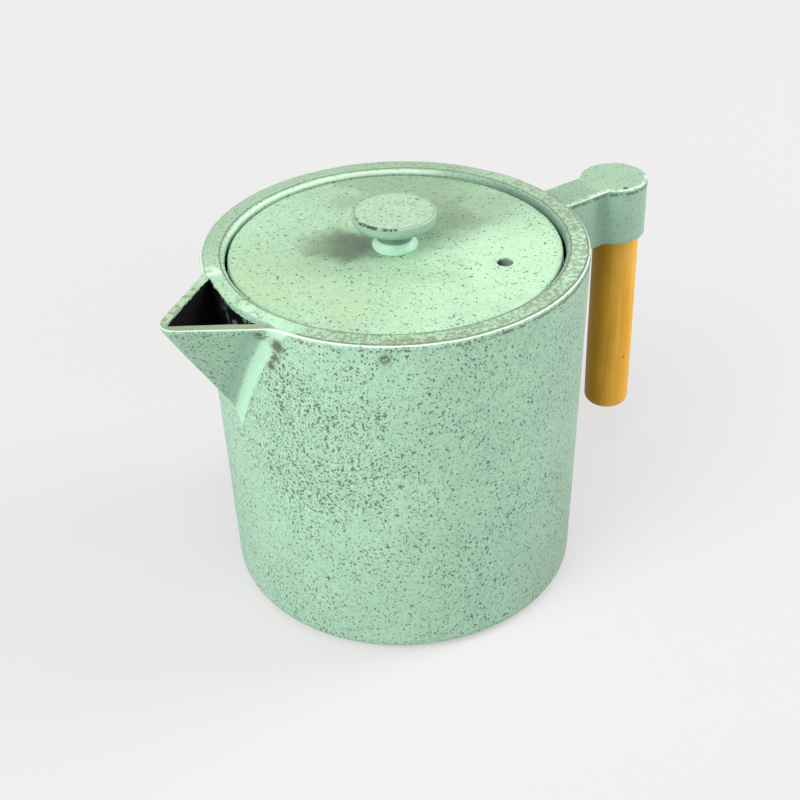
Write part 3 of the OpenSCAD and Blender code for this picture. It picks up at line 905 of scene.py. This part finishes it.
finishes = {
    "pot": pot_finish(),
    "lid": lid_finish(),
    "knob": knob_finish(),
    "wood": wood_finish(),
    "basket": steel_finish("basket_steel", (0.56, 0.56, 0.55, 1), 2),
    "fastener": steel_finish("fastener_steel", (0.50, 0.50, 0.50, 1), 0),
}
print("finishes:", list(finishes))

# %% [markdown]
# ## Tools for modelling
# Round pieces are turned: a profile is drawn with extrude, one point at a time, and spun
# about its axis. The alternative, a cylinder with bevels, can't give a ledge, a lip and
# a draft in one skin.

# %% Selecting and editing


def object_mode():
    if bpy.context.object and bpy.context.object.mode != "OBJECT":
        bpy.ops.object.mode_set(mode="OBJECT")


def deselect_all():
    object_mode()
    bpy.ops.object.select_all(action="DESELECT")


def only(piece):
    """Make one piece the selected and active one."""
    deselect_all()
    piece.select_set(True)
    bpy.context.view_layer.objects.active = piece


def edit_vertices():
    """Edit the active piece with all of its vertices selected."""
    bpy.ops.object.mode_set(mode="EDIT")
    bpy.ops.mesh.select_mode(type="VERT")
    bpy.ops.mesh.select_all(action="SELECT")


def put_at_origin(piece):
    only(piece)
    bpy.ops.object.transform_apply(location=True, rotation=True, scale=True)


# %% Drawing and turning a profile
WELD = 1e-6


def arc(radius, height, r, start, end, steps):
    """Points on an arc in a profile, with angles in degrees."""
    turns = [math.radians(start + (end - start) * i / steps) for i in range(steps + 1)]
    return [(radius + r * math.cos(t), height + r * math.sin(t)) for t in turns]


def toward(profile, end, pitch):
    """Carry a profile straight on, almost to an end, with points about a pitch apart."""
    start = profile[-1]
    steps = max(1, round(math.dist(start, end) / pitch))
    for i in range(1, steps):
        profile.append(tuple(a + (b - a) * i / steps for a, b in zip(start, end)))


def drawn(name, start, moves):
    """A new piece in edit mode: one point, extruded by each move in turn."""
    deselect_all()
    bpy.ops.mesh.primitive_plane_add(size=MM, location=start)
    piece = bpy.context.object
    piece.name = name
    edit_vertices()
    bpy.ops.mesh.merge(type="CENTER")
    for move in moves:
        bpy.ops.mesh.extrude_region_move(TRANSFORM_OT_translate={"value": move})
    bpy.ops.mesh.select_all(action="SELECT")
    return piece


def turned(name, profile, steps, x=0.0):
    """Spin a profile of (radius, height) points about an upright axis at x."""
    moves = [(b[0] - a[0], 0, b[1] - a[1]) for a, b in zip(profile, profile[1:])]
    piece = drawn(name, (x + profile[0][0], 0, profile[0][1]), moves)
    bpy.ops.mesh.spin(steps=steps, angle=math.tau, center=(x, 0, 0), axis=(0, 0, 1))
    bpy.ops.mesh.select_all(action="SELECT")
    bpy.ops.mesh.remove_doubles(threshold=WELD)
    bpy.ops.mesh.normals_make_consistent(inside=False)
    put_at_origin(piece)
    return piece


# %% Cutting, and the unevenness of a casting


def cut(piece, cutter, operation="DIFFERENCE"):
    """Take a cutter out of a piece, or join it, and remove the cutter."""
    only(piece)
    modifier = piece.modifiers.new("cut", "BOOLEAN")
    modifier.operation = operation
    modifier.solver = "EXACT"
    modifier.object = cutter
    bpy.ops.object.modifier_apply(modifier=modifier.name)
    bpy.data.objects.remove(cutter, do_unlink=True)


def peg(name, radius, place, depth, axis="Z"):
    """A plain round cutter."""
    deselect_all()
    turn = (0, math.pi / 2, 0) if axis == "X" else (0, 0, 0)
    bpy.ops.mesh.primitive_cylinder_add(
        vertices=48, radius=radius, depth=depth, location=place, rotation=turn
    )
    cutter = bpy.context.object
    cutter.name = name
    put_at_origin(cutter)
    return cutter


def uneven(piece, size, height):
    """Make a surface slightly uneven, as a casting or a turned piece is."""
    only(piece)
    texture = bpy.data.textures.new(piece.name + "_lumps", "CLOUDS")
    texture.noise_scale = size
    texture.noise_depth = 2
    modifier = piece.modifiers.new("lumps", "DISPLACE")
    modifier.texture = texture
    modifier.strength = height
    bpy.ops.object.modifier_apply(modifier=modifier.name)


# %% Dressing a finished piece
SMOOTH_UNDER = math.radians(40)


def set_finish(piece, finish):
    piece.data.materials.clear()
    piece.data.materials.append(finish)


def dress(piece, body, slot_name, finish, *nodes):
    """Smooth a piece, and give it its finish and its place in the frame."""
    only(piece)
    bpy.ops.object.shade_smooth_by_angle(angle=SMOOTH_UNDER)
    set_finish(piece, finish)
    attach(piece, body)
    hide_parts(*nodes)
    print(piece.name, len(piece.data.polygons), "faces")


# %% [markdown]
# ## The pot
# The wall, rim, ledge and floor are one turned skin. The lip is not added to it: the rows
# and columns of the skin are drawn out to where the lip's two flanks lie, and a soft
# maximum of wall and flank leaves the hollow blend that a casting has there. Joining a
# wedge to the wall would leave a sharp crease instead, which can't be bevelled well on a
# fine skin.

# %% Turn the pot
FLOOR_T = 5.0 * MM
WALL_T = 4.6 * MM
BASE_ROUND = 5.5 * MM
WELL_ROUND = 8.0 * MM
LEDGE_R = RECESS_R - 4.5 * MM
LEDGE_T = 2.5 * MM
SKIN_PITCH = 1.3 * MM
COLUMNS = 320

foot_r = body_r(BASE_ROUND) - BASE_ROUND
well_r = body_r(FLOOR_T + WELL_ROUND) - WALL_T - WELL_ROUND
ledge_root_z = LEDGE_Z - LEDGE_T - (RIM_R - WALL_T - LEDGE_R)

profile = [(0, 0)]
toward(profile, (foot_r, 0), 6 * MM)
profile += arc(foot_r, BASE_ROUND, BASE_ROUND, -90, 0, 8)
toward(profile, (RIM_R, RIM_Z - RIM_ROUND), SKIN_PITCH)
profile += arc(RIM_R - RIM_ROUND, RIM_Z - RIM_ROUND, RIM_ROUND, 0, 90, 6)
toward(profile, (RIM_IN_R, RIM_Z), SKIN_PITCH)
profile += arc(RIM_IN_R, RIM_Z - LIP_ROUND, LIP_ROUND, 90, 180, 6)
toward(profile, (RECESS_R, LEDGE_Z), 2 * MM)
profile += [(RECESS_R, LEDGE_Z), (LEDGE_R, LEDGE_Z), (LEDGE_R, LEDGE_Z - LEDGE_T)]
profile += [(body_r(ledge_root_z) - WALL_T, ledge_root_z)]
toward(profile, (well_r + WELL_ROUND, FLOOR_T + WELL_ROUND), 6 * MM)
profile += arc(well_r, FLOOR_T + WELL_ROUND, WELL_ROUND, 0, -90, 8)
toward(profile, (0, FLOOR_T), 12 * MM)
profile += [(0, FLOOR_T)]
pot = turned("pot", profile, COLUMNS)
print("pot skin:", len(profile), "rows of", COLUMNS)

# %% Draw out the lip


def soft_max(a, b, k):
    return max(a, b) + max(k - abs(a - b), 0) ** 2 / (4 * k)


def flank_r(angle, z):
    """Distance from the axis to one flank of the lip, at an angle from -X."""
    facing = flank.dot(Vector((-math.cos(angle), math.sin(angle), 0)))
    if facing < 0.05:
        return 3 * RIM_R
    return min(3 * RIM_R, flank.dot(lip_tip - Vector((0, 0, z))) / facing)


def lip_r(angle, z):
    """Distance from the axis to the blended outside of lip and wall."""
    blunt = KEEL_BLEND * max(0.1, (z - lip_root.z) / LIP_DROP)
    keel = -soft_max(-flank_r(angle, z), -flank_r(-angle, z), blunt)
    return soft_max(body_r(z), keel, LIP_BLEND)


SKIN_DEPTH = 1.6 * MM
for vertex in pot.data.vertices:
    x, y, z = vertex.co
    radius = math.hypot(x, y)
    if x > lip_corner.x / 2 or radius < body_r(z) - SKIN_DEPTH:
        continue
    shift = lip_r(math.atan2(y, -x), z) - body_r(z)
    if shift > 0:
        vertex.co.x += shift * x / radius
        vertex.co.y += shift * y / radius
print("lip reaches x", round(min(v.co.x for v in pot.data.vertices) / MM, 1), "mm")

# %% The space inside the lip
WEDGE_X = -75 * MM
WEDGE_LENGTH = 40 * MM
WEDGE_WIDTH = 60 * MM


def wedge(name, rise):
    """A block cut down by the inside of the lip's two flanks and by the wall."""
    low_z = hollow_root_z - 8 * MM
    high_z = RIM_Z + rise
    deselect_all()
    bpy.ops.mesh.primitive_cube_add(size=1, location=(WEDGE_X, 0, (low_z + high_z) / 2))
    made = bpy.context.object
    made.name = name
    bpy.ops.transform.resize(value=(WEDGE_LENGTH, WEDGE_WIDTH, high_z - low_z))
    put_at_origin(made)
    for side in (-1, 1):
        normal = (hollow_flank.x, side * hollow_flank.y, hollow_flank.z)
        edit_vertices()
        bpy.ops.mesh.bisect(
            plane_co=tuple(hollow_tip), plane_no=normal, use_fill=True, clear_outer=True
        )
        object_mode()
    from_z, to_z = low_z - MM, high_z + MM
    wall = [(0, from_z), (body_r(from_z) - HOLLOW_BITE, from_z),
            (body_r(to_z) - HOLLOW_BITE, to_z), (0, to_z)]
    cut(made, turned("back", wall, 256))
    return made


# %% Hollow out the lip
EDGE_FLARE = 0.7 * MM
FLARE_BY = (1.10, 1.07, 1)
hollow = wedge("hollow", -EDGE_FLARE)
only(hollow)
edit_vertices()
bpy.ops.mesh.select_all(action="DESELECT")
object_mode()
for face in hollow.data.polygons:
    face.select = face.normal.z > 0.9
bpy.ops.object.mode_set(mode="EDIT")
bpy.ops.mesh.select_mode(type="FACE")
bpy.ops.mesh.extrude_region_move(TRANSFORM_OT_translate={"value": (0, 0, 2 * EDGE_FLARE)})
bpy.ops.transform.resize(value=FLARE_BY)
object_mode()
print("hollow cutter", len(hollow.data.polygons), "faces")
cut(pot, hollow)

# %% The passage from the pot into the lip
PASSAGE_R = 5.0 * MM
PASSAGE_DROP = 23.0 * MM
passage_at = (-RIM_R + 7 * MM, 0, RIM_Z - PASSAGE_DROP)
cut(pot, peg("passage", PASSAGE_R, passage_at, 14 * MM, "X"))
print("pot with lip:", len(pot.data.polygons), "faces")

# %% [markdown]
# ## The arm and its boss
# Seen from above the arm is a bar that swells softly into a round boss. It is drawn as an
# outline, filled and pulled up, and the boss's turned underside is joined to it.
# A remesh and a little smoothing then give it the soft edges of a sand casting, because
# a bevel fails where bar, boss and underside meet.

# %% Sizes of the arm and its boss
ARM_H = 21.5 * MM
GRIP_TOP_R = 8.5 * MM
ARM_BLEND = 3.5 * MM
BOSS_CHIN = 0.5 * MM
CHIN_ROUND = 5.0 * MM
arm_top_z = RIM_Z - ARM_DROP
arm_under_z = arm_top_z - ARM_H
chin_z = arm_under_z - BOSS_CHIN
chin_r = min(GRIP_TOP_R + BOSS_BACK + 0.3 * MM, BOSS_R - 1.0 * MM)
print(f"top of the arm at {arm_top_z / MM:.1f} mm")

# %% Outline of the arm, filled and pulled up
blend_x = BOSS_X - math.sqrt((BOSS_R + ARM_BLEND) ** 2 - (ARM_HALF_W + ARM_BLEND) ** 2)
turn_in = math.degrees(math.atan2(ARM_HALF_W + ARM_BLEND, BOSS_X - blend_x))
side = [(RIM_R - 3.0 * MM, ARM_HALF_W)]
side += arc(blend_x, ARM_HALF_W + ARM_BLEND, ARM_BLEND, -90, -turn_in, 8)
side += arc(BOSS_X, 0, BOSS_R, 180 - turn_in, 0, 24)[1:]
outline = side + [(x, -y) for x, y in reversed(side[:-1])]

moves = [(b[0] - a[0], b[1] - a[1], 0) for a, b in zip(outline, outline[1:] + outline[:1])]
arm = drawn("arm", (*outline[0], arm_under_z), moves)
bpy.ops.mesh.remove_doubles(threshold=WELD)
bpy.ops.mesh.select_all(action="SELECT")
bpy.ops.mesh.edge_face_add()
bpy.ops.mesh.extrude_region_move(TRANSFORM_OT_translate={"value": (0, 0, ARM_H)})
bpy.ops.mesh.select_all(action="SELECT")
bpy.ops.mesh.normals_make_consistent(inside=False)
put_at_origin(arm)

# %% The boss's turned underside
in_boss_r = BOSS_R - 0.02 * MM
in_boss_z = arm_top_z - 4 * MM
profile = [
    (0, chin_z), (chin_r, chin_z),
    (chin_r + (BOSS_R - chin_r) * 0.62, chin_z + CHIN_ROUND * 0.3),
    (BOSS_R - (BOSS_R - chin_r) * 0.08, chin_z + CHIN_ROUND * 0.68),
    (in_boss_r, chin_z + CHIN_ROUND), (in_boss_r, in_boss_z), (0, in_boss_z),
]
cut(arm, turned("chin", profile, 96, BOSS_X), "UNION")
print("arm", len(arm.data.polygons), "faces")

# %% Soften the arm
VOXEL = 0.65 * MM
only(arm)
arm.data.remesh_voxel_size = VOXEL
bpy.ops.object.voxel_remesh()
softener = arm.modifiers.new("soften", "SMOOTH")
softener.factor = 0.5
softener.iterations = 5
bpy.ops.object.modifier_apply(modifier=softener.name)
uneven(arm, 9 * MM, 0.5 * MM)

# %% Socket and flaw of the boss
SOCKET_R = 6.1 * MM
SOCKET_CUT = 12.5 * MM
FLAW_R = 0.8 * MM
FLAW_CUT = 2.4 * MM
socket_z = chin_z - MM + SOCKET_CUT / 2
cut(arm, peg("socket", SOCKET_R, (GRIP_X, 0, socket_z), SOCKET_CUT))
cut(arm, peg("flaw", FLAW_R, (FLAW_AT[0] * MM, FLAW_AT[1] * MM, arm_top_z), FLAW_CUT))
cut(pot, arm, "UNION")
print("pot with arm:", len(pot.data.polygons), "faces")

# %% Finish the pot
uneven(pot, 14 * MM, 0.30 * MM)
dress(pot, "pot", "pot_paint", finishes["pot"], "pot_casting")

# %% [markdown]
# ## The lid
# A flat iron disc with a softly rounded edge, a low ring underneath that keeps it centred
# in the basket, a hole for the knob's screw and a small hole for the steam. A bevelled
# cylinder would do for the disc, but one turned profile gives the ring as well.

# %% Turn the lid
LID_SINK = 1.8 * MM
LID_ROUND = 0.9 * MM
LID_CHAMFER = 0.4 * MM
SHEET_T = 0.5 * MM
RING_GAP = 0.8 * MM
LID_RING_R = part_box("basket_wall")[1][0] - SHEET_T - RING_GAP
LID_RING_T = 3.0 * MM
LID_RING_H = 3.5 * MM
THREAD_HOLE_R = 2.75 * MM
lid_edge_z = RIM_Z - LID_SINK
lid_top_z = lid_high[2]
FOOT_R = 7.5 * MM

ring_in_r = LID_RING_R - LID_RING_T
ring_z = LID_UNDER_Z - LID_RING_H
profile = [(0, LID_UNDER_Z)]
toward(profile, (ring_in_r, LID_UNDER_Z), 6 * MM)
profile += [
    (ring_in_r, LID_UNDER_Z), (ring_in_r, ring_z), (LID_RING_R, ring_z), (LID_RING_R, LID_UNDER_Z),
    (LID_R - LID_CHAMFER, LID_UNDER_Z), (LID_R, LID_UNDER_Z + LID_CHAMFER),
]
toward(profile, (LID_R, lid_edge_z - LID_ROUND), 2 * MM)
profile += arc(LID_R - LID_ROUND, lid_edge_z - LID_ROUND, LID_ROUND, 0, 90, 5)
toward(profile, (FOOT_R, lid_top_z), 1.4 * MM)
profile += [(FOOT_R, lid_top_z), (FOOT_R / 2, lid_top_z), (0, lid_top_z)]
lid = turned("lid", profile, 256)

# %% Holes of the lid
THROUGH = 20 * MM
cut(lid, peg("vent", VENT_R, (vent_x, vent_y, LID_UNDER_Z), THROUGH))
cut(lid, peg("screw_hole", THREAD_HOLE_R, (0, 0, LID_UNDER_Z), THROUGH))
uneven(lid, 16 * MM, 0.22 * MM)
dress(lid, "lid", "lid_paint", finishes["lid"], "lid_plate")

# %% [markdown]
# ## The knob
# A mushroom of iron: a flared foot, a short neck, and a disc with a rolled side and a
# flat, slightly dished top. It is turned from a profile with curves, because its
# silhouette against the lid is what the eye rests on.

# %% Turn the knob
KNOB_R = knob_high[0]
NECK_R = 5.4 * MM
SHOULDER_R = 6.0 * MM
knob_z = knob_high[2]
foot_z = knob_low[2]
KNOB_SIDE_H = 4.0 * MM
side_z = knob_z - KNOB_SIDE_H
EDGE_R = 0.55 * MM

profile = [(0, foot_z), (FOOT_R - 0.5 * MM, foot_z)]
profile += arc(FOOT_R - 0.6 * MM, foot_z + 0.6 * MM, 0.6 * MM, -80, 40, 5)
profile += arc(SHOULDER_R + 2.6 * MM, foot_z + 3.7 * MM, 2.6 * MM, 250, 184, 7)
profile += [(NECK_R, foot_z + 4.3 * MM)]
profile += arc(NECK_R + 1.6 * MM, side_z - 2.6 * MM, 1.6 * MM, 180, 112, 6)
toward(profile, (KNOB_R - 2.2 * MM, side_z - 0.3 * MM), 1.2 * MM)
profile += arc(KNOB_R - 2.0 * MM, side_z + 1.7 * MM, 2.0 * MM, -85, 0, 8)
toward(profile, (KNOB_R, knob_z - 1.3 * MM), 0.8 * MM)
profile += [(KNOB_R, knob_z - 1.3 * MM)]
profile += arc(KNOB_TOP_R - 0.1 * MM, knob_z - EDGE_R, EDGE_R, 10, 90, 4)
toward(profile, (0, knob_z - 0.15 * MM), 1.2 * MM)
profile += [(0, knob_z - 0.15 * MM)]
knob = turned("knob", profile, 128)

# %% Finish the knob
KNOB_THREAD_R = 2.55 * MM
KNOB_THREAD_CUT = 9.5 * MM
thread_z = foot_z + 8.5 * MM - KNOB_THREAD_CUT / 2
cut(knob, peg("knob_thread", KNOB_THREAD_R, (0, 0, thread_z), KNOB_THREAD_CUT))
uneven(knob, 6 * MM, 0.12 * MM)
dress(knob, "lid", "knob_paint", finishes["knob"], "lid_knob")

# %% [markdown]
# ## The grip
# A round stick of wood that swells a little towards its lower end, with a soft lower edge,
# a pocket for the bolt and a tenon that stands in the boss. It is turned, as on a lathe,
# so the hole through it comes with the profile and nothing has to be cut.

# %% Turn the grip
GRIP_END_R = (grip_high[0] - grip_low[0]) / 2
GRIP_ROUND = 3.2 * MM
grip_end_z = grip_low[2]
POCKET_R = 5.2 * MM
POCKET_L = 7.0 * MM
BOLT_HOLE_R = 2.75 * MM
POCKET_CHAMFER = 0.4 * MM
TENON_R = SOCKET_R - 0.1 * MM
tenon_z = grip_high[2]

profile = [(BOLT_HOLE_R, grip_end_z + POCKET_L), (POCKET_R, grip_end_z + POCKET_L)]
profile += [(POCKET_R, grip_end_z + POCKET_CHAMFER), (POCKET_R + POCKET_CHAMFER, grip_end_z)]
profile += arc(GRIP_END_R - GRIP_ROUND, grip_end_z + GRIP_ROUND, GRIP_ROUND, -90, 0, 8)
toward(profile, (GRIP_TOP_R, chin_z), 2.4 * MM)
profile += [(GRIP_TOP_R, chin_z), (TENON_R, chin_z), (TENON_R, tenon_z)]
profile += [(BOLT_HOLE_R, tenon_z)]
toward(profile, profile[0], 6 * MM)
profile += [profile[0]]
grip = turned("wooden_grip", profile, 96, GRIP_X)
uneven(grip, 30 * MM, 0.25 * MM)
dress(grip, "pot", "grip_wood", finishes["wood"], "grip")

# %% [markdown]
# ## Basket and fasteners
# The basket and the steel fasteners are right as they were constructed, so they stay and
# only get their steel. Made again, they could only lose their fit.

# %% Basket and fasteners
for name in ("basket_flange", "basket_floor", "basket_wall"):
    set_finish(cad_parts[name], finishes["basket"])
for name in ("grip_washer", "grip_bolt", "knob_washer", "knob_screw"):
    set_finish(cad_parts[name], finishes["fastener"])
print("steel pieces dressed")

# %% Leave nothing selected
deselect_all()
